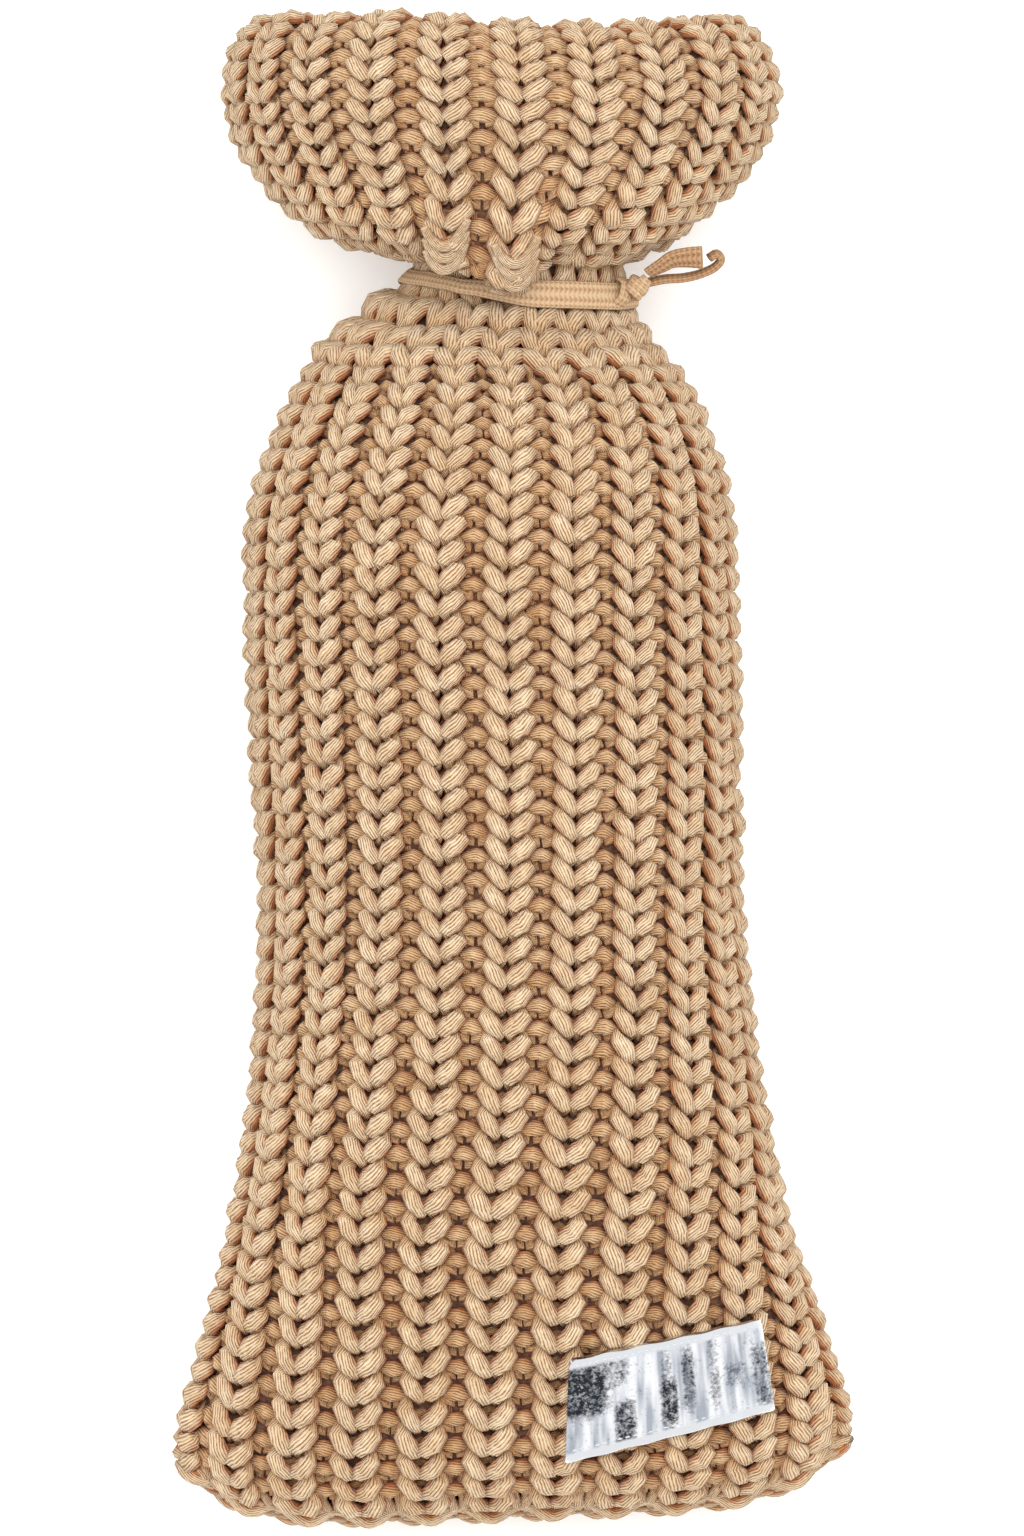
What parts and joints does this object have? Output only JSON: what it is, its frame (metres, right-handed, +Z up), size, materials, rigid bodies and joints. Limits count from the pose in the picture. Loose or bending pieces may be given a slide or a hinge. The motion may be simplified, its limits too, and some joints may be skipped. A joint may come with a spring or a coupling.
{
  "type": "hot water bottle cover",
  "caption": "Chunky rib-knit tube cover, closed and flared at the base, tied in at the neck with a tape, with a puffed turned-in collar and a bare silver label.",
  "frame": {"origin": "middle of the bounding box, on the surface that the back of the cover lies on", "axes": "+Y runs along the cover from the sewn base to the collar, +Z up through the front, +X to the right seen from above"},
  "size_m": [0.1482, 0.3324, 0.101],
  "materials": {
    "cotton_rib_knit": "matte chunky cotton rib knit, sand",
    "knitted_tape": "matte knitted cotton tape, sand",
    "silver_leather": "crinkled silver foil on leather"
  },
  "bodies": {
    "root": {"knit_cover": "cotton_rib_knit", "neck_tape": "knitted_tape", "tape_knot": "knitted_tape", "tape_end_upper": "knitted_tape", "tape_end_lower": "knitted_tape", "label": "silver_leather"}
  },
  "joints": []
}
